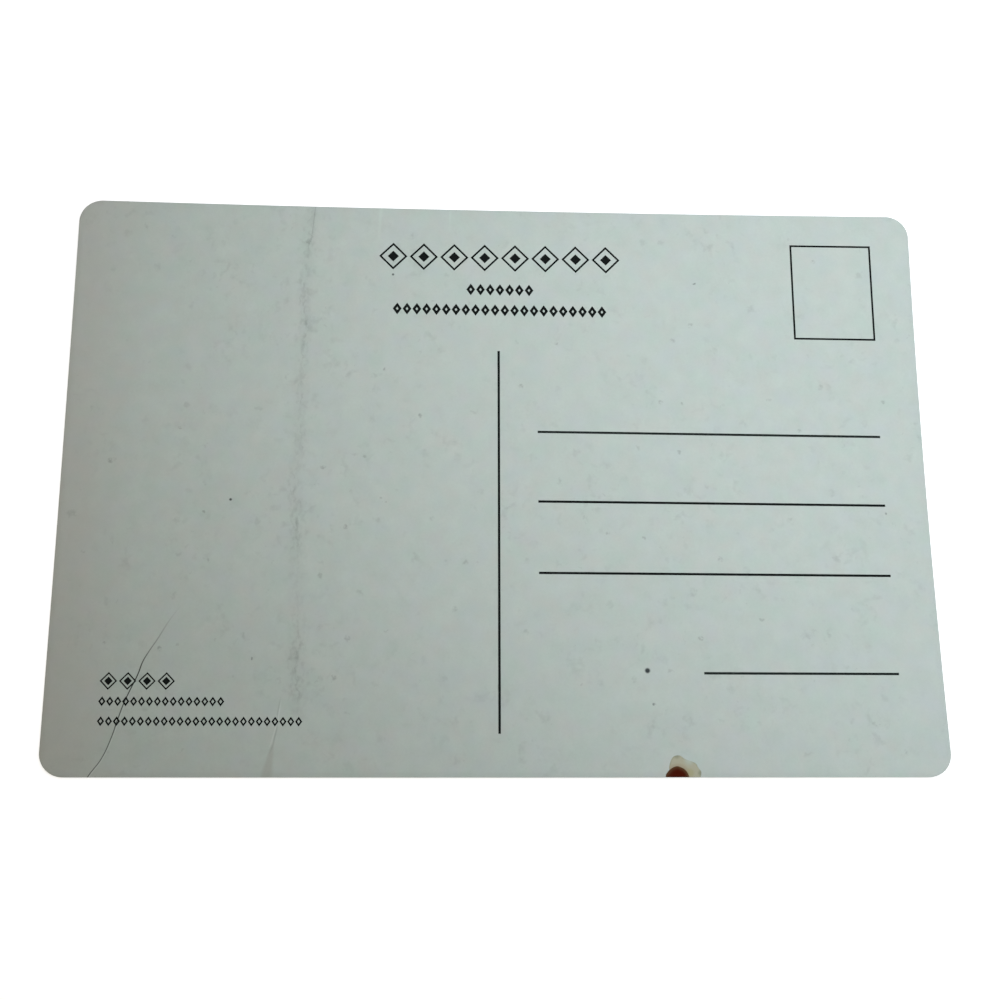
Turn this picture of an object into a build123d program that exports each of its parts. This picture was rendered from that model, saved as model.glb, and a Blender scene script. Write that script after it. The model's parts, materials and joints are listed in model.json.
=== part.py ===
# Picture postcard, lying on its picture side with the address side up.
#
# The card is multi-ply paperboard with die-cut round corners. From the table up it is a clear varnish,
# the film of picture ink, a clay coating, a liner ply, a core ply and an uncoated liner ply. The black
# print of the address side soaks into that top liner, so every printed line is an inlay that lies
# flush with the face, in a recess of its own outline.
#
# +X runs to the right as the card is read, +Y to its top edge and +Z out of the address side. The
# origin is under the middle of the card, on the table. All sizes are in millimetres.

import os

from build123d import *

# Card outline
card_width = 148.0
card_height = 100.0
corner_radius = 4.0

# Layers, from the picture side up
varnish_thickness = 0.006
picture_ink_thickness = 0.004
coating_thickness = 0.015
picture_liner_thickness = 0.08
core_thickness = 0.16
address_liner_thickness = 0.08

# Black print: how deep it soaks in, and the weight of its lines
ink_depth = 0.02
rule_weight = 0.41
stamp_line_weight = 0.34

# Divider between message and address, printed a little left of the card's middle
divider_shift = 0.25  # card's middle to the divider's middle
divider_drop = 26.7  # top edge of the card to the divider's head
divider_rise = 7.0  # bottom edge of the card to the divider's foot

# Address rules, from beside the divider to the right margin, and the short postcode rule
address_gap = 6.7  # divider's middle to the left ends of the rules
address_margin = 7.45  # right ends of the rules to the card's right edge
address_drop = 41.4  # top edge of the card to the first rule
address_pitch = 12.4
address_names = ["upper", "middle", "lower"]
postcode_length = 32.8
postcode_rise = 17.0  # bottom edge of the card to the postcode rule

# Stamp box, measured over the outside of its line
stamp_width = 14.65
stamp_height = 17.9
stamp_margin = 7.1  # box to the card's right edge
stamp_drop = 5.7  # box to the card's top edge

# Heading, centred on the card: a band of large lozenges over a short and a long row of small ones
heading_drop = 9.2  # top edge of the card to the middle of the band
heading_count = 8
heading_lozenge_width = 5.0
heading_lozenge_height = 5.1
heading_lozenge_gap = 0.4  # between neighbours in the band
heading_weight = 0.33
heading_kernel_gap = 0.75  # between a lozenge's line and the solid kernel inside it

title_drops = [15.25, 19.1]  # top edge of the card to the middles of the two rows
title_counts = [7, 22]
title_lozenge_width = 1.55
title_lozenge_height = 2.2
title_lozenge_gap = 0.17
title_weight = 0.45

# Caption, from the left margin: a small band over a short and a long row
caption_margin = 8.8  # card's left edge to the start of every row
caption_rise = 15.4  # bottom edge of the card to the middle of the band
caption_count = 4
caption_lozenge_width = 2.8
caption_lozenge_height = 2.9
caption_lozenge_gap = 0.3
caption_weight = 0.22
caption_kernel_gap = 0.3

note_rises = [12.1, 8.9]  # bottom edge of the card to the middles of the two rows
note_counts = [16, 26]
note_lozenge_width = 1.15
note_lozenge_height = 1.6
note_lozenge_gap = 0.12
note_weight = 0.26

# Levels of the layers and edges of the card, from the sizes above
picture_ink_floor = varnish_thickness
coating_floor = picture_ink_floor + picture_ink_thickness
picture_liner_floor = coating_floor + coating_thickness
core_floor = picture_liner_floor + picture_liner_thickness
address_liner_floor = core_floor + core_thickness
address_face = address_liner_floor + address_liner_thickness
ink_floor = address_face - ink_depth

right_edge = card_width / 2
left_edge = -right_edge
top_edge = card_height / 2
bottom_edge = -top_edge


def make_layer(floor, thickness):
    # One sheet of the card, cut to its outline
    with BuildPart() as layer:
        with BuildSketch(Plane.XY.offset(floor)):
            RectangleRounded(card_width, card_height, corner_radius)
        extrude(amount=thickness)
    return layer.part


def make_rule(width, height, x, y):
    # A printed line, as a bar of ink centred on x and y
    with BuildPart() as rule:
        with BuildSketch(Plane.XY.offset(ink_floor)):
            with Locations((x, y)):
                Rectangle(width, height)
        extrude(amount=ink_depth)
    return rule.part


def row_length(count, width, gap):
    return count * width + (count - 1) * gap


def make_lozenge_row(x, y, count, width, height, gap, weight, kernel_gap=None):
    # A row of open lozenges centred on x and y, each with a solid kernel if it has a kernel gap
    tips = [(width / 2, 0), (0, height / 2), (-width / 2, 0), (0, -height / 2)]
    with BuildSketch() as lozenge:
        Polygon(*tips)
        offset(amount=-weight, kind=Kind.INTERSECTION, mode=Mode.SUBTRACT)
    with BuildSketch() as kernel:
        Polygon(*tips)
        if kernel_gap is not None:
            offset(amount=-weight - kernel_gap, kind=Kind.INTERSECTION, mode=Mode.REPLACE)
    with BuildPart() as row:
        with BuildSketch(Plane.XY.offset(ink_floor)):
            with Locations((x, y)):
                with GridLocations(width + gap, height, count, 1):
                    add(lozenge.sketch)
                    if kernel_gap is not None:
                        add(kernel.sketch)
        extrude(amount=ink_depth)
    return row.part


# Divider and rules
divider_length = card_height - divider_drop - divider_rise
divider_middle = (divider_rise - divider_drop) / 2
address_start = address_gap - divider_shift
address_end = right_edge - address_margin
address_length = address_end - address_start
address_middle = (address_end + address_start) / 2
postcode_middle = address_end - postcode_length / 2

ink = {"divider_rule": make_rule(rule_weight, divider_length, -divider_shift, divider_middle)}
for index, name in enumerate(address_names):
    y = top_edge - address_drop - index * address_pitch
    ink[f"address_rule_{name}"] = make_rule(address_length, rule_weight, address_middle, y)
ink["postcode_rule"] = make_rule(
    postcode_length, rule_weight, postcode_middle, bottom_edge + postcode_rise
)

# Stamp box: a rectangle of line only
with BuildPart() as stamp_box:
    with BuildSketch(Plane.XY.offset(ink_floor)):
        with Locations((right_edge - stamp_margin, top_edge - stamp_drop)):
            Rectangle(stamp_width, stamp_height, align=(Align.MAX, Align.MAX))
        offset(amount=-stamp_line_weight, kind=Kind.INTERSECTION, mode=Mode.SUBTRACT)
    extrude(amount=ink_depth)
ink["stamp_box"] = stamp_box.part

# Heading ornament
ink["heading_band"] = make_lozenge_row(
    0,
    top_edge - heading_drop,
    heading_count,
    heading_lozenge_width,
    heading_lozenge_height,
    heading_lozenge_gap,
    heading_weight,
    heading_kernel_gap,
)
for name, drop, count in zip(["short", "long"], title_drops, title_counts):
    ink[f"heading_row_{name}"] = make_lozenge_row(
        0,
        top_edge - drop,
        count,
        title_lozenge_width,
        title_lozenge_height,
        title_lozenge_gap,
        title_weight,
    )

# Caption ornament
caption_start = left_edge + caption_margin
ink["caption_band"] = make_lozenge_row(
    caption_start + row_length(caption_count, caption_lozenge_width, caption_lozenge_gap) / 2,
    bottom_edge + caption_rise,
    caption_count,
    caption_lozenge_width,
    caption_lozenge_height,
    caption_lozenge_gap,
    caption_weight,
    caption_kernel_gap,
)
for name, rise, count in zip(["short", "long"], note_rises, note_counts):
    ink[f"caption_row_{name}"] = make_lozenge_row(
        caption_start + row_length(count, note_lozenge_width, note_lozenge_gap) / 2,
        bottom_edge + rise,
        count,
        note_lozenge_width,
        note_lozenge_height,
        note_lozenge_gap,
        note_weight,
    )

# The address side's liner, recessed where the print has soaked in
with BuildPart() as address_liner:
    add(make_layer(address_liner_floor, address_liner_thickness))
    for inlay in ink.values():
        add(inlay, mode=Mode.SUBTRACT)

pieces = {
    "gloss_varnish": make_layer(0, varnish_thickness),
    "picture_print": make_layer(picture_ink_floor, picture_ink_thickness),
    "clay_coating": make_layer(coating_floor, coating_thickness),
    "picture_liner": make_layer(picture_liner_floor, picture_liner_thickness),
    "core_ply": make_layer(core_floor, core_thickness),
    "address_liner": address_liner.part,
    **ink,
}

os.makedirs("parts", exist_ok=True)
for name, piece in pieces.items():
    piece.label = name
    export_step(piece, f"parts/{name}.step")
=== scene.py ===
import json
import math

import bmesh
import bpy
from mathutils import Matrix, Vector, noise


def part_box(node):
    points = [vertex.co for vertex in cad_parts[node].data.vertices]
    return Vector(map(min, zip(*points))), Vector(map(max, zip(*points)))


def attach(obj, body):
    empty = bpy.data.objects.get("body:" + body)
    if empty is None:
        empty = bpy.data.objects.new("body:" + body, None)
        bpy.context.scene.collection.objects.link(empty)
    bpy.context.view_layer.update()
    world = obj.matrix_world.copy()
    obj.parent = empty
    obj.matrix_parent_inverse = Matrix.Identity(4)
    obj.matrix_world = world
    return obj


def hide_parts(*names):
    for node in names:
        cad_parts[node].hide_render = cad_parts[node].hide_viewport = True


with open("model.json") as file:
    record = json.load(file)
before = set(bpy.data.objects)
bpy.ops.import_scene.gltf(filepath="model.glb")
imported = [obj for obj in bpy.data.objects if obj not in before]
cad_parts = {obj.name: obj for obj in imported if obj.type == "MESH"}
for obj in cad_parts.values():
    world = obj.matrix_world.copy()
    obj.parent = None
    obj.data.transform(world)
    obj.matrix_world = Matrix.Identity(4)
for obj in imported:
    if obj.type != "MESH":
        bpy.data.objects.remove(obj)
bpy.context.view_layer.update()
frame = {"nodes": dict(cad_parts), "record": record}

scene = bpy.context.scene
scene.view_settings.view_transform = "Standard"
mm = 0.001  # the frame is in metres, and every size below is in millimetres
cutSnap = 1e-6  # a vertex this near to a cut lies on it
weldGap = 1e-4  # vertices nearer than this become one
hair = 1e-3  # levels nearer than this are the same

halfWidth, halfHeight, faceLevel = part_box("address_liner")[1] / mm
inkNodes = [part["node"] for part in frame["record"]["subparts"] if part["material_slot"] == "black_ink"]
print("frame loaded, nodes:", len(frame["nodes"]), "of them print:", len(inkNodes))


# Colours and nodes

def hexColour(code):
    channels = [int(code[i:i + 2], 16) / 255 for i in (0, 2, 4)]
    return [c / 12.92 if c <= 0.04045 else ((c + 0.055) / 1.055) ** 2.4 for c in channels] + [1.0]


def addNode(tree, kind, inputs=None, out=0, curve=(), stops=(), **settings):
    node = tree.nodes.new("ShaderNode" + kind)
    for name, value in settings.items():
        setattr(node, name, value)
    for key, value in (inputs or {}).items():
        if isinstance(value, bpy.types.NodeSocket):
            tree.links.new(value, node.inputs[key])
        else:
            node.inputs[key].default_value = value
    if curve:  # of a Float Curve, from its first point to its last
        points = node.mapping.curves[0].points
        points[0].location = curve[0]
        points[1].location = curve[-1]
        for spot in curve[1:-1]:
            points.new(*spot)
        node.mapping.update()
    if stops:  # of a Color Ramp
        ramp = node.color_ramp.elements
        ramp.remove(ramp[1])
        ramp[0].position = stops[0][0]
        ramp[0].color = hexColour(stops[0][1])
        for spot, tone in stops[1:]:
            ramp.new(spot).color = hexColour(tone)
    return node.outputs[out] if node.outputs else node


def newMaterial(name):
    # an empty material, with the place on the card in mm to start from
    material = bpy.data.materials.new(name)
    material.use_nodes = True
    tree = material.node_tree
    tree.nodes.clear()
    place = addNode(tree, "TexCoord", out="Object")
    return material, tree, addNode(tree, "VectorMath", {0: place, "Scale": 1 / mm}, operation="SCALE")


# Lines of wear on the address side, with painted shade and highlights along the crack and the fold. Each
# goes up
# the card: its x and y, its half width at foot and head, and how strongly it shows at some heights y

crackLine = {  # a hairline that runs in from the bottom edge, dark with dirt and with painted shadow in the crack
    "points": ((-66.3, -50.4), (-65.9, -49.7), (-64.0, -46.9), (-62.7, -43.6), (-61.9, -40.8),
               (-61.2, -38.5), (-60.5, -36.7), (-59.1, -33.4), (-58.5, -31.5), (-57.6, -29.8),
               (-56.3, -27.7), (-54.6, -24.7), (-52.7, -22.0)),
    "width": (0.1, 0.17),
    "crisp": 0.4,  # share of the width before the line starts to fade
    "strength": ((-50.4, 1.0), (-46, 0.78), (-40, 0.85), (-33.5, 0.95), (-31.5, 0.82), (-29.5, 0.54),
                 (-27, 0.32), (-24.5, 0.14), (-22, 0.0)),
    "ridge": 0.03,  # how far its right lip stands up at the foot
    "ridgeWidth": 0.5,
    "lipWidth": 0.2,  # over which the paper climbs to the lip
}
crackLip = {  # light catches the torn edge, low down
    "points": tuple((x + 0.24, y) for x, y in crackLine["points"]),
    "width": (0.16, 0.1),
    "strength": ((-50.4, 0.28), (-42, 0.25), (-36, 0.1), (-31, 0.0), (-22, 0.0)),
}
creaseLine = {  # a soft crease from top to bottom, rubbed grey
    "points": ((-33.0, -42), (-33.1, -39), (-33.3, -36), (-33.7, -31), (-33.4, -28), (-34.0, -18),
               (-34.2, -11), (-34.4, -5), (-35.0, -1), (-34.3, 3), (-34.1, 8), (-34.3, 17), (-34.2, 23),
               (-33.9, 27), (-34.4, 33), (-34.2, 38), (-33.7, 44), (-33.4, 51)),
    "width": (0.26, 0.26),
    "strength": ((-42, 0.0), (-38, 0.6), (-33, 1.0), (-27, 0.8), (-22, 0.4), (-17, 0.35), (-11.5, 0.8),
                 (-5, 0.9), (-1, 0.75), (3, 0.5), (6.5, 0.65), (9.5, 0.5), (15, 0.7), (21, 0.6), (27, 1.0),
                 (35, 0.9), (40, 0.6), (43.4, 1.0), (46, 0.8), (51, 0.8)),
    "ridge": 0.03,
    "ridgeWidth": 0.8,
}
creaseTwin = {  # a second line beside it at the top edge
    "points": ((-33.5, 42.5), (-33.2, 46), (-32.8, 51)),
    "width": (0.2, 0.2),
    "strength": ((42.5, 0.0), (45, 0.22), (51, 0.25)),
}
creaseBand = dict(creaseLine, width=(2.4, 1.5))  # the rubbed strip along it
creaseHalo = dict(creaseLine, width=(13.0, 13.0))  # where handling marks crowd round it
foldLine = {  # a sharp little fold, low on the left; its dark line is painted shade on the side turned from the light
    "points": ((-37.6, -46.6), (-36.9, -44.9), (-36.6, -43.4), (-36.35, -42.0), (-36.35, -40.3),
               (-36.1, -38.4), (-35.9, -37.0)),
    "width": (0.24, 0.2),
    "strength": ((-46.6, 0.0), (-44.6, 0.22), (-43, 0.26), (-41, 0.1), (-39.3, 0.22), (-38, 0.14),
                 (-37, 0.0)),
    "ridge": 0.03,
    "ridgeWidth": 0.3,
}
foldLight = {  # and the side of it that catches the light
    "points": ((-37.6, -45.6), (-37.3, -44.9), (-36.95, -43.6), (-36.6, -42.3), (-36.2, -40.5),
               (-36.0, -39.0), (-35.8, -37.5)),
    "width": (0.2, 0.2),
    "strength": ((-45.6, 0.0), (-44, 0.3), (-41.5, 0.3), (-39.5, 0.32), (-37.5, 0.0)),
}
foldTongue = {  # the brownish patch below the fold
    "points": ((-37.8, -50.5), (-37.6, -48.8), (-37.2, -46.4), (-36.9, -44.5)),
    "width": (1.5, 0.3),
    "crisp": 0.25,
    "strength": ((-50.5, 0.28), (-47.5, 0.26), (-45.5, 0.2), (-44.5, 0.0)),
}
scrapeLines = (  # two pale scrapes at the top edge
    {"points": ((-21.6, 43.2), (-21.2, 50.4)), "width": (0.3, 0.5), "crisp": 0.3,
     "strength": ((43.2, 0.0), (45, 0.14), (47.5, 0.2), (50.4, 0.32))},
    {"points": ((-9.0, 45.2), (-8.8, 50.4)), "width": (0.25, 0.3), "crisp": 0.3,
     "strength": ((45.2, 0.0), (47, 0.14), (50.4, 0.22))},
)


def shares(values):
    # the lowest value, the span, and each value as a share of that span
    low = min(values)
    span = max(max(values) - low, 0.1)  # a straight upright line has next to none
    return low, span, [(value - low) / span for value in values]


def acrossLine(tree, place, line):
    # mm to the right of the line, and the share of the way along it
    lowX, spanX, bends = shares([x for x, y in line["points"]])
    lowY, spanY, climbs = shares([y for x, y in line["points"]])
    axes = addNode(tree, "SeparateXYZ", {0: place}).node.outputs
    along = addNode(tree, "MapRange", {"Value": axes["Y"], "From Min": lowY, "From Max": lowY + spanY})
    bend = addNode(tree, "FloatCurve", {"Value": along}, curve=list(zip(climbs, bends)))
    line["bend"] = bend.node.mapping
    middle = addNode(tree, "MapRange", {"Value": bend, "To Min": lowX, "To Max": lowX + spanX})
    return addNode(tree, "Math", {0: axes["X"], 1: middle}, operation="SUBTRACT"), along


def lineMask(tree, place, line):
    across, along = acrossLine(tree, place, line)
    gap = addNode(tree, "Math", {0: across}, operation="ABSOLUTE")
    foot, head = line["width"]
    reach = addNode(tree, "MapRange", {"Value": along, "To Min": foot, "To Max": head})
    full = addNode(tree, "Math", {0: reach, 1: line.get("crisp", 0.0)}, operation="MULTIPLY")
    mask = addNode(tree, "MapRange", {
        "Value": gap, "From Min": full, "From Max": reach, "To Min": 1.0, "To Max": 0.0},
        interpolation_type="SMOOTHSTEP")
    climbs = shares([y for y, strength in line["strength"]])[2]
    strengths = [strength for y, strength in line["strength"]]
    strength = addNode(tree, "FloatCurve", {"Value": along}, curve=list(zip(climbs, strengths)))
    return addNode(tree, "Math", {0: mask, 1: strength}, operation="MULTIPLY")


def besideLine(line, x, y):
    # the same two numbers as acrossLine gives, for the relief
    lowX, spanX = shares([point[0] for point in line["points"]])[:2]
    lowY, spanY = shares([point[1] for point in line["points"]])[:2]
    along = (y - lowY) / spanY
    share = line["bend"].evaluate(line["bend"].curves[0], min(max(along, 0.0), 1.0))
    return x - lowX - share * spanX, along


# Uncoated board from a paper machine: matt and cloudy, with fibre flecks, dirt and handling marks, and with
# painted shade and highlights at the crack, the fold and the left edge

paperLook = {
    "tone": "C4CEC7",
    "drifts": ("CEC8C4", "B6CFC3", "C3C9D1"),  # rosy, green and bluish patches
    "driftSize": 4.0,
    "driftStrength": 0.3,
    "driftApart": 40.0,  # from the noise of one drift to that of the next
    "cloudSize": 3.0,  # the board's cloudy formation
    "grainSize": 0.4,  # coarser than real fibres so that it shows
    "grainShare": 0.6,  # of the grain beside the clouds
    "grainDepth": 0.02,
    "shade": (0.94, 1.06),  # of the hollows and of the tops of clouds and grain
    "smudge": "8C9490",
    "smudgeSize": 1.8,
    "smudgeStrength": 0.32,
    "clusterSize": 11.0,  # smudges and small flecks crowd together
    "fleck": "7F8783",
    "fleckCells": (6.5, 2.3),  # between the large flecks and between the small ones
    "fleckReach": (0.04, 0.16),  # of the smallest and the largest, as shares of their cells
    "fleckStrength": 0.25,
    "raggedSize": 0.909,  # of the fibres that fray outlines
    "fray": (2.4, 2.4, 0),  # how far they push the flecks about
    "shiver": (1.2, 0.4, 0),  # the crease
    "smear": (1.1, 0.8, 0),  # and the marks
    "rub": "7D8683",
    "rubStrength": (0.09, 0.46),  # between the streaks of the crease and in them
    "streakSize": (0.6667, 1.25),  # across and up
    # rubbed grey of the crease, and painted shade along the fold
    "crease": "5F6866",
    "creaseStrength": 0.19,
    "breakSize": 1.4286,  # of the breaks in its line
    # dirt and painted shadow in the crack
    "crack": "1E211F",
    "lit": "E4EAE6",  # painted highlight where the crack's torn lip and the fold's side catch the light
    "scrape": "D3E2D9",
    "tongue": "9C9389",
    "leftWarmShade": "C0B6B0",  # painted warm shade along the left edge, where the light is dimmer and warmer
    "leftWarmShadeWidth": 15.0,
    "leftWarmShadeStrength": 0.3,
    "speck": "20272B",
    "speckFade": (0.55, 1.3),  # where a mark starts to fade and is gone, as shares of its radius
    "roundAbove": 0.5,  # marks stronger than this are round dots
    "patchyBelow": 0.4,  # and those fainter than this are broken up by the fibres
    "patchySize": 0.4167,
}
wearLines = (  # in the order of painting, each with its tone
    (creaseTwin, "crease"), (foldTongue, "tongue"), (foldLine, "crease"), (foldLight, "lit"),
    (crackLip, "lit"), (crackLine, "crack"), (scrapeLines[0], "scrape"), (scrapeLines[1], "scrape"),
)
handlingMarks = (  # x, y, radius and strength
    (24.3, -32.6, 0.45, 0.95), (-45.5, -4.0, 0.24, 0.85), (-18.9, 37.3, 0.22, 0.75),
    (25.2, -38.1, 0.22, 0.5), (34.7, 36.6, 0.2, 0.5), (-40.7, -30.8, 0.26, 0.45), (66.6, -5.2, 0.2, 0.4),
    (-49.9, -6.1, 0.3, 0.38), (-20.3, -3.4, 0.25, 0.36), (-19.6, -4.1, 0.22, 0.3),
    (-13.9, 11.3, 0.42, 0.34), (-66.0, 2.6, 0.45, 0.32), (-65.2, 2.8, 0.3, 0.2),
    (-27.4, -33.9, 0.5, 0.28), (-20.0, 19.5, 0.26, 0.3),
    (3.5, 16.9, 0.4, 0.26), (33.5, -27.1, 0.4, 0.26), (31.7, 14.1, 0.35, 0.26), (-26.1, -8.6, 0.4, 0.28),
    (67.6, 15.0, 0.4, 0.24), (-25.4, -27.5, 0.5, 0.22), (-54.4, 8.5, 0.35, 0.26), (30.9, 5.3, 0.4, 0.24),
    (33.8, 28.7, 0.5, 0.2), (30.4, 25.8, 0.5, 0.2), (52.2, 9.5, 0.4, 0.2), (-30.2, 1.8, 0.45, 0.25),
    (-23.2, 3.8, 0.38, 0.24), (24.4, -10.0, 0.35, 0.24), (37.4, -13.6, 0.45, 0.18), (-48.7, -14.5, 0.4, 0.2),
    (-64.8, -28.4, 0.3, 0.26), (13.4, -34.9, 0.25, 0.32), (9.8, 24.8, 0.35, 0.24), (43.9, -23.8, 0.35, 0.22),
    (-30.1, -16.9, 0.5, 0.2), (56.5, 17.6, 0.5, 0.18), (27.9, 14.3, 0.45, 0.2), (-33.9, 43.3, 0.5, 0.3),
    (-5.9, -14.5, 0.5, 0.2), (-7.8, -22.4, 0.5, 0.2), (47.1, 15.0, 0.4, 0.18), (56.3, 41.2, 0.35, 0.2),
    (18.2, -9.3, 0.35, 0.2), (-55.9, -29.2, 0.4, 0.3), (-53.0, -28.6, 0.3, 0.2),
)


def paperMaterial():
    material, tree, place = newMaterial("uncoated_board")
    look = paperLook
    coats = []  # masks and the tones that they bring, each painted over the last

    cloud = addNode(tree, "TexNoise", {"Vector": place, "Scale": 1 / look["cloudSize"], "Detail": 4})
    grain = addNode(tree, "TexNoise", {"Vector": place, "Scale": 1 / look["grainSize"], "Detail": 5})
    relief = addNode(tree, "Math", {0: grain, 1: look["grainShare"], 2: cloud}, operation="MULTIPLY_ADD")
    for index, tone in enumerate(look["drifts"]):
        step = (0, 0, look["driftApart"] * index)
        elsewhere = addNode(tree, "VectorMath", {0: place, 1: step}, operation="ADD")
        drift = addNode(tree, "TexNoise", {
            "Vector": elsewhere, "Scale": 1 / look["driftSize"], "Detail": 4})
        drift = addNode(tree, "MapRange", {
            "Value": drift, "From Min": 0.45, "From Max": 0.75, "To Max": look["driftStrength"]})
        coats.append((drift, tone))

    # faint grey of handling, in clusters and round the crease
    cluster = addNode(tree, "TexNoise", {"Vector": place, "Scale": 1 / look["clusterSize"], "Detail": 2})
    cluster = addNode(tree, "MapRange", {"Value": cluster, "From Min": 0.4, "From Max": 0.7})
    halo = lineMask(tree, place, creaseHalo)
    cluster = addNode(tree, "Math", {0: cluster, 1: halo}, operation="MAXIMUM")
    smudge = addNode(tree, "TexNoise", {
        "Vector": place, "Scale": 1 / look["smudgeSize"], "Detail": 4, "Distortion": 0.3})
    smudge = addNode(tree, "MapRange", {
        "Value": smudge, "From Min": 0.56, "From Max": 0.78, "To Max": look["smudgeStrength"]})
    smudge = addNode(tree, "Math", {0: smudge, 1: cluster}, operation="MULTIPLY")
    coats.append((smudge, look["smudge"]))

    # painted warm shade towards the left edge
    axes = addNode(tree, "SeparateXYZ", {0: place}).node.outputs
    edge = addNode(tree, "MapRange", {
        "Value": axes["X"], "From Min": -halfWidth, "From Max": look["leftWarmShadeWidth"] - halfWidth,
        "To Min": look["leftWarmShadeStrength"], "To Max": 0.0}, interpolation_type="SMOOTHSTEP")
    coats.append((edge, look["leftWarmShade"]))

    # fibre flecks with ragged outlines, the small ones in clusters
    ragged = addNode(tree, "TexNoise", {
        "Vector": place, "Scale": 1 / look["raggedSize"], "Detail": 3}, out="Color")
    ragged = addNode(tree, "VectorMath", {0: ragged, 1: (0.5, 0.5, 0.5)}, operation="SUBTRACT")
    shaky = addNode(tree, "VectorMath", {0: ragged, 1: look["fray"], 2: place}, operation="MULTIPLY_ADD")
    smallest, largest = look["fleckReach"]
    for cell, crowd in zip(look["fleckCells"], (1.0, cluster)):
        cells = addNode(tree, "TexVoronoi", {
            "Vector": shaky, "Scale": 1 / cell}, voronoi_dimensions="2D").node.outputs
        chance = addNode(tree, "SeparateColor", {0: cells["Color"]}).node.outputs
        reach = addNode(tree, "MapRange", {"Value": chance[0], "To Min": smallest, "To Max": largest})
        fleck = addNode(tree, "MapRange", {
            "Value": cells["Distance"], "From Min": 0.0, "From Max": reach, "To Min": 1.0, "To Max": 0.0},
            interpolation_type="SMOOTHSTEP")
        faint = addNode(tree, "MapRange", {
            "Value": chance[1], "From Min": 0.3, "To Max": look["fleckStrength"]})
        fleck = addNode(tree, "Math", {0: fleck, 1: faint}, operation="MULTIPLY")
        fleck = addNode(tree, "Math", {0: fleck, 1: crowd}, operation="MULTIPLY")
        coats.append((fleck, look["fleck"]))

    # the crease: a broken line between upright streaks of rubbed fibre
    shiver = addNode(tree, "VectorMath", {0: ragged, 1: look["shiver"], 2: place}, operation="MULTIPLY_ADD")
    broken = addNode(tree, "TexNoise", {"Vector": place, "Scale": 1 / look["breakSize"], "Detail": 5})
    broken = addNode(tree, "MapRange", {
        "Value": broken, "From Min": 0.4, "From Max": 0.65, "To Max": look["creaseStrength"]})
    wide, high = look["streakSize"]
    upright = addNode(tree, "VectorMath", {0: shiver, 1: (1 / wide, 1 / high, 0)}, operation="MULTIPLY")
    streak = addNode(tree, "TexNoise", {"Vector": upright, "Scale": 1.0, "Detail": 5})
    between, within = look["rubStrength"]
    streak = addNode(tree, "MapRange", {
        "Value": streak, "From Min": 0.46, "From Max": 0.72, "To Min": between, "To Max": within})
    for line, breaks, tone in ((creaseBand, streak, "rub"), (creaseLine, broken, "crease")):
        mask = addNode(tree, "Math", {0: lineMask(tree, shiver, line), 1: breaks}, operation="MULTIPLY")
        coats.append((mask, look[tone]))
    # among these, the fold's dark line is painted shade, the lit tone a painted highlight and the crack
    # partly painted shadow
    for line, tone in wearLines:
        coats.append((lineMask(tree, place, line), look[tone]))

    # specks and smudges of dirt
    flat = addNode(tree, "VectorMath", {0: place, 1: (1, 1, 0)}, operation="MULTIPLY")
    smear = addNode(tree, "VectorMath", {0: ragged, 1: look["smear"], 2: flat}, operation="MULTIPLY_ADD")
    patchy = addNode(tree, "TexNoise", {"Vector": place, "Scale": 1 / look["patchySize"], "Detail": 2})
    patchy = addNode(tree, "MapRange", {"Value": patchy, "From Min": 0.35, "From Max": 0.6})
    full, gone = look["speckFade"]
    for x, y, radius, strength in handlingMarks:
        spread = flat if strength > look["roundAbove"] else smear
        gap = addNode(tree, "VectorMath", {0: spread, 1: (x, y, 0)}, out="Value", operation="DISTANCE")
        spot = addNode(tree, "MapRange", {
            "Value": gap, "From Min": radius * full, "From Max": radius * gone, "To Min": strength,
            "To Max": 0.0}, interpolation_type="SMOOTHSTEP")
        if strength < look["patchyBelow"]:
            spot = addNode(tree, "Math", {0: spot, 1: patchy}, operation="MULTIPLY")
        coats.append((spot, look["speck"]))

    hollow, top = look["shade"]
    shade = addNode(tree, "MapRange", {
        "Value": relief, "From Min": 0.4, "From Max": 1.2, "To Min": hollow, "To Max": top})
    tone = hexColour(look["tone"])[:3]
    colour = addNode(tree, "VectorMath", {0: tone, "Scale": shade}, operation="SCALE")
    for mask, tone in coats:
        colour = addNode(tree, "Mix", {0: mask, 6: colour, 7: hexColour(tone)}, out=2, data_type="RGBA")
    rough = addNode(tree, "MapRange", {"Value": cloud, "To Min": 0.76, "To Max": 0.9})
    bump = addNode(tree, "Bump", {"Strength": 0.35, "Distance": look["grainDepth"] * mm, "Height": relief})
    shader = addNode(tree, "BsdfPrincipled", {
        "Base Color": colour, "Roughness": rough, "IOR": 1.5, "Specular IOR Level": 0.25, "Normal": bump})
    addNode(tree, "OutputMaterial", {"Surface": shader})
    return material


# Offset ink that has soaked into the board: matt black with a green cast, a little thin over some fibres

inkLook = {
    "full": ("070B0A", "1C2322"),  # over most of the fibres and over the others
    "starved": ("1C2220", "3A423F"),  # the same, where the roller ran short of ink
    "starvedRules": ("address_rule_upper", "postcode_rule"),
    "grainSize": 0.3,
}


def inkMaterial(name, tones):
    material, tree, place = newMaterial(name)
    grain = addNode(tree, "TexNoise", {"Vector": place, "Scale": 1 / inkLook["grainSize"], "Detail": 3})
    bare = addNode(tree, "MapRange", {"Value": grain, "From Min": 0.5, "From Max": 0.8})
    colour = addNode(tree, "Mix", {0: bare, 6: hexColour(tones[0]), 7: hexColour(tones[1])}, out=2,
                     data_type="RGBA")
    rough = addNode(tree, "MapRange", {"Value": grain, "To Min": 0.6, "To Max": 0.85})
    shader = addNode(tree, "BsdfPrincipled", {
        "Base Color": colour, "Roughness": rough, "IOR": 1.5, "Specular IOR Level": 0.08})
    addNode(tree, "OutputMaterial", {"Surface": shader})
    return material


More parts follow.
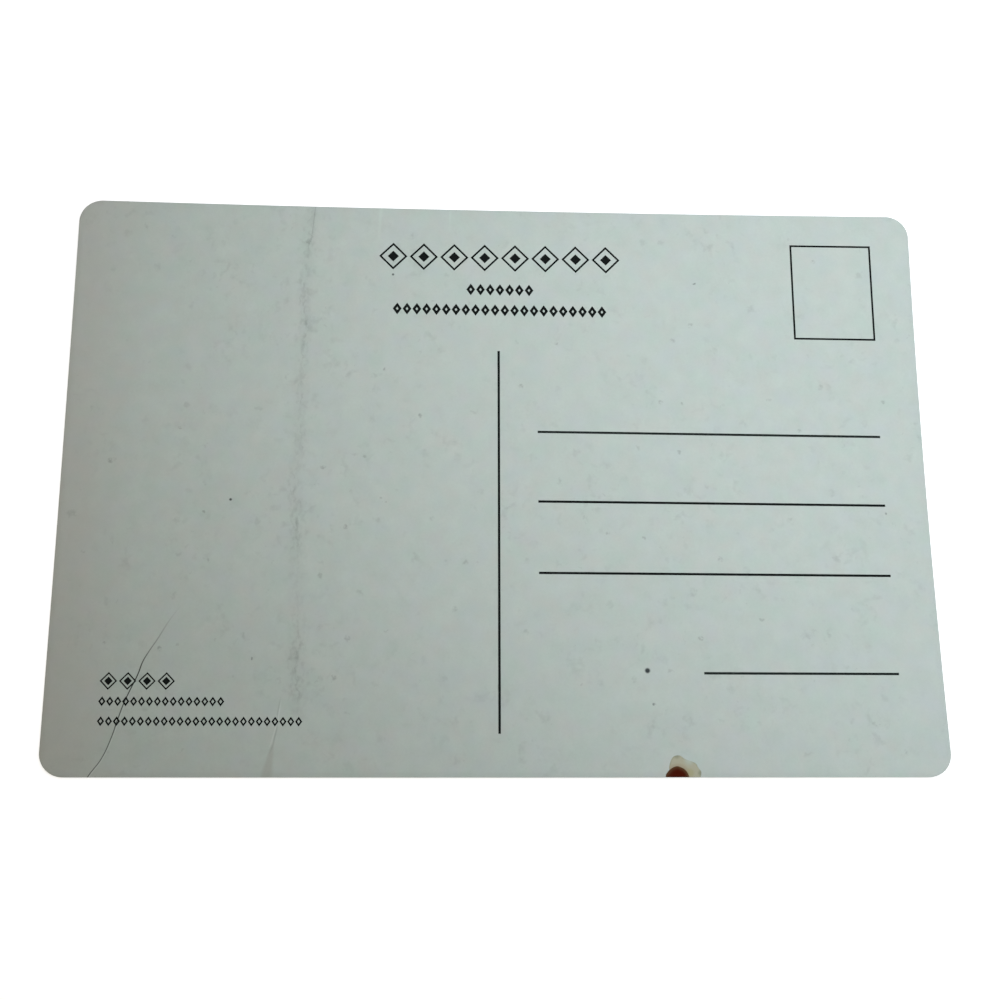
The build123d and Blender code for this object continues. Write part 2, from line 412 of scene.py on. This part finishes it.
# Pressed wood pulp at the cut edge: dull and fibrous, with the grain of each ply running along the edge

plyLook = {
    "liner": ("C2C9C3", "A6ADA6"),  # light and dark fibres
    "core": ("ABA798", "8B8779"),
    "fibreSize": 0.4,  # coarser than real fibres so that it shows
    "flatness": 10,  # how much longer than high they are
    "fibreDepth": 0.03,
}


def pulpMaterial(name, tones):
    material, tree, place = newMaterial(name)
    flat = addNode(tree, "VectorMath", {0: place, 1: (1, 1, plyLook["flatness"])}, operation="MULTIPLY")
    fibre = addNode(tree, "TexNoise", {"Vector": flat, "Scale": 1 / plyLook["fibreSize"], "Detail": 3})
    colour = addNode(tree, "Mix", {0: fibre, 6: hexColour(tones[0]), 7: hexColour(tones[1])}, out=2,
                     data_type="RGBA")
    rough = addNode(tree, "MapRange", {"Value": fibre, "To Min": 0.82, "To Max": 0.96})
    bump = addNode(tree, "Bump", {"Strength": 0.5, "Distance": plyLook["fibreDepth"] * mm, "Height": fibre})
    shader = addNode(tree, "BsdfPrincipled", {
        "Base Color": colour, "Roughness": rough, "IOR": 1.5, "Specular IOR Level": 0.2, "Normal": bump})
    addNode(tree, "OutputMaterial", {"Surface": shader})
    return material


# Four-colour offset print under varnish: soft, slightly faded tones with a clear gloss over them.
# The picture is a plain view of hills over a lake, upright when the card is turned over sideways.

pictureLook = {
    "sky": ((0.0, "EDE4CF"), (0.3, "C6D6DA"), (1.0, "6A9AC2")),
    "cloud": "F6F3EC",
    "cloudSize": (34.0, 11.0),  # along and up
    "cloudStrength": 0.85,
    "skyline": -2.0,  # where the hills meet the lake
    # from the furthest hills: middle and swing of the crest, length of a hill, tones of sun, shade and haze
    "hills": (
        (19.0, 9.0, 46.0, "B9C3CB", "8FA3B8", "CBD3D3"),
        (11.0, 7.0, 33.0, "93AE9F", "5F8088", "A9BDB6"),
        (3.5, 4.5, 24.0, "8DA35C", "3D5F46", "86A07C"),
    ),
    "hillsApart": 200.0,  # along the noise that their crests come from
    "spurSize": (7.0, 5.0, 2.4),  # spurs and woods on each of them
    "hazeDepth": 14.0,  # below the crest, where the haze is thickest
    "hazeStrength": 0.75,
    "water": ((0.0, "3F6C7C"), (0.6, "6F9AA6"), (1.0, "A9C0C4")),
    "ripple": (9.0, 0.8),  # along and up
    "sway": (2, 5, 0),  # how far the ripples push the mirrored hills
    "glint": (0.86, 1.14),  # between the ripples and on them
    "mirrored": 0.6,  # share of the hills' image in the water
    "bank": (-36.0, -12.0),  # between which the near bank rises and falls
    "bankLength": 44.0,
    "grass": ((0.3, "324F2B"), (0.48, "587A38"), (0.62, "8DA24A"), (0.75, "B7B765")),
    "bladeSize": (0.7, 3.0),  # across and up
    "sunlitSize": 14.6667,  # patches of sun on the grass
    "sunlitShare": 0.55,  # of them beside the blades
    "blossoms": (("F0E6D2", 2.6, 13.0), ("E0AE3C", 1.9, 17.0)),  # tone, how far apart, size of a drift
    "blossomStrength": 0.9,
}


def farView(tree, place):
    # sky, clouds and hills as they stand at that place
    look = pictureLook
    axes = addNode(tree, "SeparateXYZ", {0: place}).node.outputs
    height = addNode(tree, "MapRange", {
        "Value": axes["Y"], "From Min": look["skyline"], "From Max": halfHeight})
    colour = addNode(tree, "ValToRGB", {0: height}, stops=look["sky"])
    long, high = look["cloudSize"]
    drawn = addNode(tree, "VectorMath", {0: place, 1: (1 / long, 1 / high, 0)}, operation="MULTIPLY")
    cloud = addNode(tree, "TexNoise", {"Vector": drawn, "Scale": 1.0, "Detail": 6})
    cloud = addNode(tree, "MapRange", {
        "Value": cloud, "From Min": 0.5, "From Max": 0.68, "To Max": look["cloudStrength"]},
        interpolation_type="SMOOTHSTEP")
    coats = [(cloud, hexColour(look["cloud"]))]

    for index, (crest, swing, length, sun, shade, mist) in enumerate(look["hills"]):
        along = addNode(tree, "Math", {0: axes["X"], 1: look["hillsApart"] * (index + 1)}, operation="ADD")
        outline = addNode(tree, "TexNoise", {
            "W": along, "Scale": 1 / length, "Detail": 6}, noise_dimensions="1D")
        outline = addNode(tree, "MapRange", {
            "Value": outline, "From Min": 0.25, "From Max": 0.75, "To Min": crest - swing,
            "To Max": crest + swing})
        depth = addNode(tree, "Math", {0: outline, 1: axes["Y"]}, operation="SUBTRACT")
        mask = addNode(tree, "MapRange", {"Value": depth, "From Min": -0.1, "From Max": 0.15})
        spur = addNode(tree, "TexNoise", {
            "Vector": place, "Scale": 1 / look["spurSize"][index], "Detail": 6, "Distortion": 0.3})
        spur = addNode(tree, "MapRange", {"Value": spur, "From Min": 0.4, "From Max": 0.62})
        hill = addNode(tree, "Mix", {
            0: spur, 6: hexColour(sun), 7: hexColour(shade)}, out=2, data_type="RGBA")
        haze = addNode(tree, "MapRange", {
            "Value": depth, "From Max": look["hazeDepth"], "To Max": look["hazeStrength"]})
        hill = addNode(tree, "Mix", {0: haze, 6: hill, 7: hexColour(mist)}, out=2, data_type="RGBA")
        coats.append((mask, hill))
    for mask, layer in coats:
        colour = addNode(tree, "Mix", {0: mask, 6: colour, 7: layer}, out=2, data_type="RGBA")
    return colour


def pictureMaterial():
    material, tree, place = newMaterial("varnished_print")
    look = pictureLook
    colour = farView(tree, place)
    axes = addNode(tree, "SeparateXYZ", {0: place}).node.outputs
    x, y = axes["X"], axes["Y"]

    # the lake mirrors the hills, broken by its ripples
    long, high = look["ripple"]
    flat = addNode(tree, "VectorMath", {0: place, 1: (1 / long, 1 / high, 0)}, operation="MULTIPLY")
    ripple = addNode(tree, "TexNoise", {"Vector": flat, "Scale": 1.0, "Detail": 3}).node.outputs
    flipped = addNode(tree, "VectorMath", {
        0: place, 1: (1, -1, 0), 2: (0, 2 * look["skyline"], 0)}, operation="MULTIPLY_ADD")
    sway = addNode(tree, "VectorMath", {
        0: ripple["Color"], 1: look["sway"], 2: flipped}, operation="MULTIPLY_ADD")
    low, high = look["bank"]
    far = addNode(tree, "MapRange", {"Value": y, "From Min": low, "From Max": look["skyline"]})
    lake = addNode(tree, "ValToRGB", {0: far}, stops=look["water"])
    lake = addNode(tree, "Mix", {
        0: look["mirrored"], 6: lake, 7: farView(tree, sway)}, out=2, data_type="RGBA")
    dull, bright = look["glint"]
    glint = addNode(tree, "MapRange", {
        "Value": ripple["Fac"], "From Min": 0.35, "From Max": 0.7, "To Min": dull, "To Max": bright})
    lake = addNode(tree, "VectorMath", {0: lake, "Scale": glint}, operation="SCALE")
    coats = [(addNode(tree, "Math", {0: y, 1: look["skyline"]}, operation="LESS_THAN"), lake)]

    # the near bank, with blades of grass and drifts of blossom
    bank = addNode(tree, "TexNoise", {
        "W": x, "Scale": 1 / look["bankLength"], "Detail": 5}, noise_dimensions="1D")
    bank = addNode(tree, "MapRange", {
        "Value": bank, "From Min": 0.2, "From Max": 0.8, "To Min": low, "To Max": high})
    wide, tall = look["bladeSize"]
    blade = addNode(tree, "VectorMath", {0: place, 1: (1 / wide, 1 / tall, 0)}, operation="MULTIPLY")
    blade = addNode(tree, "TexNoise", {"Vector": blade, "Scale": 1.0, "Detail": 4, "Distortion": 0.6})
    tips = addNode(tree, "Math", {0: blade, 1: tall, 2: bank}, operation="MULTIPLY_ADD")
    depth = addNode(tree, "Math", {0: tips, 1: y}, operation="SUBTRACT")
    mask = addNode(tree, "MapRange", {"Value": depth, "From Min": -0.1, "From Max": 0.2})
    sunlit = addNode(tree, "TexNoise", {"Vector": place, "Scale": 1 / look["sunlitSize"], "Detail": 3})
    tuft = addNode(tree, "Mix", {0: look["sunlitShare"], 2: blade, 3: sunlit})
    coats.append((mask, addNode(tree, "ValToRGB", {0: tuft}, stops=look["grass"])))
    for tone, apart, driftSize in look["blossoms"]:
        petals = addNode(tree, "TexVoronoi", {"Vector": place, "Scale": 1 / apart}, voronoi_dimensions="2D")
        petals = addNode(tree, "MapRange", {
            "Value": petals, "From Min": 0.16, "From Max": 0.24, "To Min": look["blossomStrength"],
            "To Max": 0.0})
        drift = addNode(tree, "TexNoise", {"Vector": place, "Scale": 1 / driftSize, "Detail": 3})
        drift = addNode(tree, "MapRange", {"Value": drift, "From Min": 0.52, "From Max": 0.58})
        petals = addNode(tree, "Math", {0: petals, 1: drift}, operation="MULTIPLY")
        petals = addNode(tree, "Math", {0: petals, 1: mask}, operation="MULTIPLY")
        coats.append((petals, hexColour(tone)))

    for mask, layer in coats:
        colour = addNode(tree, "Mix", {0: mask, 6: colour, 7: layer}, out=2, data_type="RGBA")
    shader = addNode(tree, "BsdfPrincipled", {
        "Base Color": colour, "Roughness": 0.4, "IOR": 1.5, "Coat Weight": 1.0, "Coat Roughness": 0.12,
        "Coat IOR": 1.48})
    addNode(tree, "OutputMaterial", {"Surface": shader})
    return material


paper = paperMaterial()
ink = inkMaterial("soaked_in_ink", inkLook["full"])
starvedInk = inkMaterial("starved_ink", inkLook["starved"])
linerPulp = pulpMaterial("bleached_pulp", plyLook["liner"])
corePulp = pulpMaterial("grey_pulp", plyLook["core"])
picture = pictureMaterial()
print("card materials made")


# Card shape

cardShape = {
    "cornerRadius": 4.0,
    "cornerCuts": 12,  # straight cuts that make each round corner
    "facePitch": 1.0,  # between vertices on the address side
    "plyPitch": 2.0,  # and on the plies under it
    "rimWear": 0.03,  # how far the top rim is rounded off
    "sharpAngle": math.radians(35),  # edges that turn more than this stay crisp
    # how far the card stands off the table at its left, middle and right, each from the bottom edge up
    "curl": ((0.15, 0.15, 1.35), (0.57, 0.39, 0.62), (1.85, 0.05, 1.65)),
    "cockle": 0.05,  # depth of the slow waves in the board
    "cockleSize": 34.0,
    "ridgeEnds": 6,  # a ridge has its full height after a sixth of its line
    # how near to which lines the faces are halved, and how far past their ends as a share of their length
    "finer": (
        (2.4, (creaseLine, crackLine, foldLine)),
        (1.2, (crackLine, foldLine)),
        (0.6, (crackLine, foldLine)),
    ),
    "finerPast": 0.05,
}
bakeMap = {  # shares of the map: the side that shows, the other side over it, and the cut edge at the top
    "half": 0.49,  # from the map's middle to the card's edge
    "shown": 0.88,
    "hiddenFoot": 0.89,
    "hidden": 0.06,
    "edgeFoot": 0.965,
    "edge": 0.03,
}


def blendThree(heights, t):
    # a smooth bend through three heights, at t from -1 to 1
    low, middle, high = heights
    return low * t * (t - 1) / 2 + middle * (1 - t * t) + high * t * (t + 1) / 2


def liftAt(x, y):
    # how far the card stands off the table there
    lift = blendThree([blendThree(column, y / halfHeight) for column in cardShape["curl"]], x / halfWidth)
    lift += cardShape["cockle"] * noise.noise(Vector((x, y, 0)) / cardShape["cockleSize"])
    for line in (creaseLine, foldLine):
        across, along = besideLine(line, x, y)
        fade = max(min(1.0, cardShape["ridgeEnds"] * along, cardShape["ridgeEnds"] * (1 - along)), 0.0)
        lift += fade * line["ridge"] * math.exp(-(across / line["ridgeWidth"]) ** 2)
    across, along = besideLine(crackLine, x, y)
    if across > 0:
        lip = math.exp(-across / crackLine["ridgeWidth"])
    else:
        lip = max(1 + across / crackLine["lipWidth"], 0.0)
    lift += max(1 - along, 0.0) * crackLine["ridge"] * lip
    return max(lift, 0.0)


def refineNearLines(bm):
    # smaller faces beside the crease, the fold and the crack
    past = cardShape["finerPast"]
    for reach, lines in cardShape["finer"]:
        near = set()
        for face in bm.faces:
            spot = face.calc_center_median()
            for line in lines:
                across, along = besideLine(line, spot.x, spot.y)
                if abs(across) < reach and -past < along < 1 + past:
                    near.update(face.edges)
        bmesh.ops.subdivide_edges(bm, edges=list(near), cuts=1, use_grid_fill=True)


def layBakeMap(bm, floor, roof, shown):
    # shown is 1 for a sheet that is seen from above and -1 for one that is seen from below
    bm.normal_update()
    layer = bm.loops.layers.uv.new("OFBake")
    for face in bm.faces:
        behind = face.calc_center_median().y < 0
        for loop in face.loops:
            x, y, z = loop.vert.co
            u = 0.5 + x / halfWidth * bakeMap["half"]
            v = 0.5 + y / halfHeight * bakeMap["half"]
            if abs(face.normal.z) < 0.5:
                turn = abs(math.atan2(y, x)) / math.pi
                u = 0.5 + bakeMap["half"] * (-turn if behind else turn)
                v = bakeMap["edgeFoot"] + bakeMap["edge"] * (z - floor) / (roof - floor)
            elif face.normal.z * shown > 0:
                v *= bakeMap["shown"]
            else:
                v = bakeMap["hiddenFoot"] + bakeMap["hidden"] * v
            loop[layer].uv = (u, v)


def finishPiece(name, bm, material, nodes=(), smooth=True):
    # curls a flat piece with the card and puts it into the scene
    for face in bm.faces:
        face.smooth = smooth
    for vert in bm.verts:
        vert.co.z += liftAt(vert.co.x, vert.co.y)
    bmesh.ops.scale(bm, vec=(mm, mm, mm), verts=bm.verts)
    mesh = bpy.data.meshes.new(name)
    bm.to_mesh(mesh)
    bm.free()
    mesh.set_sharp_from_angle(angle=cardShape["sharpAngle"])
    mesh.materials.append(material)
    piece = bpy.data.objects.new(name, mesh)
    scene.collection.objects.link(piece)
    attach(piece, "root")
    if nodes:
        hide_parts(*nodes)
    return piece


def raiseFaces(bm, height):
    # a closed slab of that height from flat faces
    raised = bmesh.ops.extrude_face_region(bm, geom=bm.faces[:], use_keep_orig=True)["geom"]
    raised = [part for part in raised if isinstance(part, bmesh.types.BMVert)]
    bmesh.ops.translate(bm, vec=(0, 0, height), verts=raised)
    bmesh.ops.recalc_face_normals(bm, faces=bm.faces)


def cutThrough(bm, place, outward, trim=False):
    # a straight cut through everything; trim takes away what lies beyond it
    bmesh.ops.bisect_plane(bm, geom=bm.verts[:] + bm.edges[:] + bm.faces[:], dist=cutSnap, plane_co=place,
                           plane_no=outward, clear_outer=trim)


def cutSheet(floor, roof, pitch, shown, worn=False):
    # a sheet of the card's outline between two levels, in a net of small faces so that it can curl
    bm = bmesh.new()
    columns = round(2 * halfWidth / pitch)
    rows = round(2 * halfHeight / pitch)
    bmesh.ops.create_grid(bm, x_segments=columns, y_segments=rows, size=1)
    bmesh.ops.scale(bm, vec=(halfWidth, halfHeight, 1), verts=bm.verts)
    radius = cardShape["cornerRadius"]
    for sideX, sideY in ((-1, -1), (-1, 1), (1, -1), (1, 1)):
        centre = Vector((sideX * (halfWidth - radius), sideY * (halfHeight - radius), 0))
        for cut in range(cardShape["cornerCuts"]):
            turn = math.pi / 2 * (cut + 0.5) / cardShape["cornerCuts"]
            outward = Vector((sideX * math.cos(turn), sideY * math.sin(turn), 0))
            cutThrough(bm, centre + radius * outward, outward, trim=True)
    if worn:
        refineNearLines(bm)
    bmesh.ops.translate(bm, vec=(0, 0, floor), verts=bm.verts)
    raiseFaces(bm, roof - floor)
    if worn:
        top = [edge for edge in bm.edges if min(vert.co.z for vert in edge.verts) > roof - hair]
        rim = [edge for edge in top if edge.calc_face_angle(0) > cardShape["sharpAngle"]]
        bmesh.ops.bevel(bm, geom=rim, offset=cardShape["rimWear"], affect="EDGES", segments=2, profile=0.5,
                        material=-1)
    layBakeMap(bm, floor, roof, shown)
    return bm


for name, nodes, material, slot, pitch, shown in (
    ("address_sheet", ["address_liner"], paper, "liner", cardShape["facePitch"], 1),
    ("core_sheet", ["core_ply"], corePulp, "core", cardShape["plyPitch"], 1),
    ("picture_liner_sheet", ["picture_liner"], linerPulp, "liner", cardShape["plyPitch"], -1),
    ("picture_sheet", ["clay_coating", "picture_print", "gloss_varnish"], picture, "picture_ink",
     cardShape["plyPitch"], -1),
):
    floor = min(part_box(node)[0].z for node in nodes) / mm
    roof = max(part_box(node)[1].z for node in nodes) / mm
    bm = cutSheet(floor, roof, pitch, shown, worn=material is paper)
    sheet = finishPiece(name, bm, material, nodes)
    print(name, "faces:", len(sheet.data.polygons))


# Print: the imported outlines, a hair proud of the paper so that the ink covers it

inkShape = {
    "proud": 0.012,
    "pitch": 2.0,  # between the cuts that let it follow the curl
    "wornPitch": 0.25,  # and where the crack and the fold cross it
    "wornEnd": -30.0,  # print that starts left of this is crossed by them
}

for node in inkNodes:
    bm = bmesh.new()
    bm.from_mesh(frame["nodes"][node].data)
    bmesh.ops.scale(bm, vec=(1 / mm, 1 / mm, 1 / mm), verts=bm.verts)
    bmesh.ops.remove_doubles(bm, verts=bm.verts, dist=weldGap)
    low, high = (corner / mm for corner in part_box(node))
    pitch = inkShape["wornPitch" if low.x < inkShape["wornEnd"] else "pitch"]
    for axis in (0, 1):
        span = high[axis] - low[axis]
        cuts = math.ceil(span / pitch)
        across = Vector((axis == 0, axis == 1, 0))
        for cut in range(1, cuts):
            cutThrough(bm, low + across * span * cut / cuts, across)
    bmesh.ops.dissolve_degenerate(bm, dist=hair, edges=bm.edges)
    top = [vert for vert in bm.verts if vert.co.z > faceLevel - hair]
    bmesh.ops.translate(bm, vec=(0, 0, inkShape["proud"]), verts=top)
    film = starvedInk if node in inkLook["starvedRules"] else ink
    finishPiece(node + "_ink", bm, film, [node], smooth=False)
print("print laid on:", len(inkNodes))


# Dried glue with a torn scrap in it, on the bottom edge

glueShape = {
    "outline": ((26.8, -49.95), (26.9, -49.5), (27.4, -48.9), (27.3, -48.5), (27.4, -47.9), (27.7, -47.1),
                (28.1, -46.6), (28.7, -46.4), (29.3, -46.5), (29.7, -46.9), (30.3, -47.2), (31.1, -47.4),
                (31.6, -47.7), (31.9, -47.9), (32.0, -48.4), (32.5, -48.9), (32.6, -49.3), (32.4, -49.95)),
    "middle": (29.7, -48.7),
    "thickness": 0.04,
    "slope": 0.25,  # from its torn side to its full thickness
    "rimWidth": 0.3,
}
scrapShape = {
    "outline": ((26.7, -49.95), (26.75, -49.5), (27.1, -49.1), (27.35, -48.75), (27.7, -48.45),
                (28.2, -48.2), (28.7, -48.1), (29.3, -48.3), (29.8, -48.55), (30.25, -49.0), (30.5, -49.5),
                (30.6, -49.95)),
    "middle": (28.65, -49.3),
    "thickness": 0.12,
    "slope": 0.35,
    "rimWidth": 0.65,
}
flakeShape = {
    "root": 0.03,  # how far both go down into the paper
    "footSlope": 0.1,  # from the card's edge to their full thickness
    "outlineCuts": 3,  # new points on each stretch of the outline
    "smoothing": 4,  # times that the torn side is smoothed
    # each ring's size as a share of the one round it
    "rings": (0.985, 0.975, 0.96, 0.95, 0.93, 0.9, 0.8, 0.6),
}


def cutFlake(shape):
    # a thin flake that ends just inside the card's edge, with a rim attribute that is 1 at its torn side
    bm = bmesh.new()
    floor = faceLevel - flakeShape["root"]
    face = bm.faces.new([bm.verts.new((x, y, floor)) for x, y in shape["outline"]])
    bmesh.ops.subdivide_edges(bm, edges=bm.edges[:], cuts=flakeShape["outlineCuts"])
    foot = min(vert.co.y for vert in bm.verts)
    torn = [vert for vert in bm.verts if vert.co.y > foot + hair]
    for turn in range(flakeShape["smoothing"]):
        bmesh.ops.smooth_vert(bm, verts=torn, factor=0.5, use_axis_x=True, use_axis_y=True)
    side = [vert.co.to_2d() for vert in torn]
    middle = Matrix.Translation((-shape["middle"][0], -shape["middle"][1], 0))
    for share in flakeShape["rings"]:
        face = bmesh.ops.extrude_discrete_faces(bm, faces=[face])["faces"][0]
        bmesh.ops.scale(bm, vec=(share, share, 1), space=middle, verts=face.verts)
    bmesh.ops.poke(bm, faces=[face])
    raiseFaces(bm, flakeShape["root"] + shape["thickness"])
    rim = bm.verts.layers.float.new("rim")
    for vert in bm.verts:
        gap = min((vert.co.to_2d() - spot).length for spot in side)
        vert[rim] = max(1 - gap / shape["rimWidth"], 0.0)
        if vert.co.z > faceLevel:
            rise = min(gap / shape["slope"], (vert.co.y - foot) / flakeShape["footSlope"], 1.0)
            vert.co.z -= shape["thickness"] * (1 - rise) ** 2
    return bm


# Animal glue, dried to a dull olive film: a darker rim and darker spots at its top and right edges, painted
# shade of its raised edge; yellow and cream where the scrap has bled

glueLook = {
    "glue": "B1AF98",
    # painted shade along the raised torn edge
    "rim": "93967F",
    "yellow": "A8A47E",
    "cream": "A5987F",
    "thin": "B6C0B4",
    # painted shadow at the top and right edges of the raised flake
    "edgeShadow": "878C77",
    "bleedsAndShadows": (  # a tone, its middle, and how far it is full and has faded
        ("thin", (30.6, -47.3, 0), 0.2, 1.1),
        ("edgeShadow", (28.6, -46.5, 0), 0.1, 0.75),
        ("edgeShadow", (32.4, -49.3, 0), 0.1, 0.6),
        ("cream", (28.7, -49.9, 0), 1.75, 2.4),
        ("yellow", (30.7, -49.3, 0), 0.3, 1.0),
    ),
    "bleedAndShadowStrength": 0.75,
    "blotchSize": 0.625,
    "blotchDepth": 0.03,
}


def glueMaterial():
    material, tree, place = newMaterial("dried_glue")
    look = glueLook
    rim = addNode(tree, "Attribute", out="Fac", attribute_name="rim")
    blotch = addNode(tree, "TexNoise", {"Vector": place, "Scale": 1 / look["blotchSize"], "Detail": 3})
    uneven = addNode(tree, "MapRange", {
        "Value": blotch, "From Min": 0.35, "From Max": 0.6, "To Min": 0.2})
    # the darker rim is painted shade along the raised torn edge
    coats = [(addNode(tree, "Math", {0: rim, 1: uneven}, operation="MULTIPLY"), "rim")]
    flat = addNode(tree, "VectorMath", {0: place, 1: (1, 1, 0)}, operation="MULTIPLY")
    # bled tones, and painted shadow at the top and right edges
    for tone, middle, full, faded in look["bleedsAndShadows"]:
        gap = addNode(tree, "VectorMath", {0: flat, 1: middle}, out="Value", operation="DISTANCE")
        mask = addNode(tree, "MapRange", {
            "Value": gap, "From Min": full, "From Max": faded, "To Min": look["bleedAndShadowStrength"],
            "To Max": 0.0}, interpolation_type="SMOOTHSTEP")
        coats.append((mask, tone))
    colour = hexColour(look["glue"])
    for mask, tone in coats:
        colour = addNode(tree, "Mix", {
            0: mask, 6: colour, 7: hexColour(look[tone])}, out=2, data_type="RGBA")
    bump = addNode(tree, "Bump", {"Strength": 0.4, "Distance": look["blotchDepth"] * mm, "Height": blotch})
    shader = addNode(tree, "BsdfPrincipled", {
        "Base Color": colour, "Roughness": 0.6, "IOR": 1.5, "Specular IOR Level": 0.3, "Normal": bump})
    addNode(tree, "OutputMaterial", {"Surface": shader})
    return material


# Brown kraft paper soaked with glue: matt and very dark, thinned out and paler along its torn rim

scrapLook = {
    "scrap": "420D01",
    "light": "4E1A07",
    "rim": "685038",
    "rimRise": (27.2, 29.8),  # x between which the rim reaches its full paleness
    "rimLeft": 0.7,  # its strength left of that
    "fibreSize": 0.4545,  # coarser than real fibres so that it shows
    "fibreDepth": 0.04,
}


def scrapMaterial():
    material, tree, place = newMaterial("glue_soaked_paper")
    look = scrapLook
    rim = addNode(tree, "Attribute", out="Fac", attribute_name="rim")
    fibre = addNode(tree, "TexNoise", {"Vector": place, "Scale": 1 / look["fibreSize"], "Detail": 4})
    axes = addNode(tree, "SeparateXYZ", {0: place}).node.outputs
    start, end = look["rimRise"]
    paler = addNode(tree, "MapRange", {
        "Value": axes["X"], "From Min": start, "From Max": end, "To Min": look["rimLeft"], "To Max": 1.0})
    paler = addNode(tree, "Math", {0: rim, 1: paler}, operation="MULTIPLY")
    colour = hexColour(look["scrap"])
    for mask, tone in ((fibre, "light"), (paler, "rim")):
        colour = addNode(tree, "Mix", {
            0: mask, 6: colour, 7: hexColour(look[tone])}, out=2, data_type="RGBA")
    bump = addNode(tree, "Bump", {"Strength": 0.5, "Distance": look["fibreDepth"] * mm, "Height": fibre})
    shader = addNode(tree, "BsdfPrincipled", {
        "Base Color": colour, "Roughness": 0.8, "IOR": 1.5, "Specular IOR Level": 0.05, "Normal": bump})
    addNode(tree, "OutputMaterial", {"Surface": shader})
    return material


finishPiece("glue_patch", cutFlake(glueShape), glueMaterial())
finishPiece("brown_scrap", cutFlake(scrapShape), scrapMaterial())
print("glue and scrap laid on")


# Table, light and camera

stageLook = {
    "size": 4000,
    "drop": 0.01,  # from the card's lowest point to the table
    "table": "E6E6E6",
    "glow": 0.75,  # makes the table a plain white ground to the eye
    "even": "6F6F6F",  # light from all round
    "backdrop": "EDEDED",
}
lamps = {
    "key": {
        "place": (87, 48, 120),
        "aim": (99, 63, 0),
        "size": 250,
        "power": 0.2935,
        "tint": (0.889, 0.949, 1.0),
    },
    "fill": {
        "place": (-220, -40, 260),
        "aim": (-40, 0, 0),
        "size": 250,
        "power": 0.11,
        "tint": (1.0, 0.72, 0.3),
    },
}
view = {
    "place": (-12.7, -63.86, 231.27),
    "aim": (-0.07, -3.55, 0.495),
    "turn": -0.16,  # degrees about the line of sight
    "lens": 50.51,
    "near": 10,
}


def shownRays(tree):
    # 1 for what the eye sees, straight, mirrored or through something clear, and 0 for the card's light
    rays = addNode(tree, "LightPath").node.outputs
    shown = addNode(tree, "Math", {0: rays["Is Camera Ray"], 1: rays["Is Glossy Ray"]}, operation="MAXIMUM")
    return addNode(tree, "Math", {0: shown, 1: rays["Is Transmission Ray"]}, operation="MAXIMUM")


bm = bmesh.new()
bmesh.ops.create_grid(bm, x_segments=1, y_segments=1, size=stageLook["size"] / 2 * mm)
bmesh.ops.translate(bm, vec=(0, 0, -stageLook["drop"] * mm), verts=bm.verts)
mesh = bpy.data.meshes.new("table")
bm.to_mesh(mesh)
bm.free()
table = bpy.data.objects.new("table", mesh)
scene.collection.objects.link(table)
material, tree, place = newMaterial("white_table")
matt = addNode(tree, "BsdfDiffuse", {"Color": hexColour(stageLook["table"])})
glow = addNode(tree, "Math", {0: shownRays(tree), 1: stageLook["glow"]}, operation="MULTIPLY")
glow = addNode(tree, "Emission", {"Strength": glow})
addNode(tree, "OutputMaterial", {"Surface": addNode(tree, "AddShader", {0: matt, 1: glow})})
mesh.materials.append(material)

world = bpy.data.worlds.new("studio")
scene.world = world
world.use_nodes = True
tree = world.node_tree
tree.nodes.clear()
even, backdrop = hexColour(stageLook["even"]), hexColour(stageLook["backdrop"])
surround = addNode(tree, "Mix", {0: shownRays(tree), 6: even, 7: backdrop}, out=2, data_type="RGBA")
addNode(tree, "OutputWorld", {"Surface": addNode(tree, "Background", {"Color": surround})})

for name, lamp in lamps.items():
    light = bpy.data.lights.new(name, "AREA")
    light.size = lamp["size"] * mm
    light.energy = lamp["power"]
    light.color = lamp["tint"]
    holder = bpy.data.objects.new(name, light)
    scene.collection.objects.link(holder)
    holder.location = Vector(lamp["place"]) * mm
    beam = Vector(lamp["aim"]) - Vector(lamp["place"])
    holder.rotation_euler = beam.to_track_quat("-Z", "Y").to_euler()
    holder.visible_camera = False

camera = bpy.data.objects.new("camera", bpy.data.cameras.new("camera"))
scene.collection.objects.link(camera)
camera.data.lens = view["lens"]
camera.data.clip_start = view["near"] * mm
forward = (Vector(view["aim"]) - Vector(view["place"])).normalized()
right = forward.cross(Vector((0, 1, 0))).normalized()
axes = Matrix((right, right.cross(forward), -forward)).transposed()
camera.rotation_euler = (Matrix.Rotation(math.radians(view["turn"]), 3, -forward) @ axes).to_euler()
camera.location = Vector(view["place"]) * mm
scene.camera = camera
print("table, light and camera set")
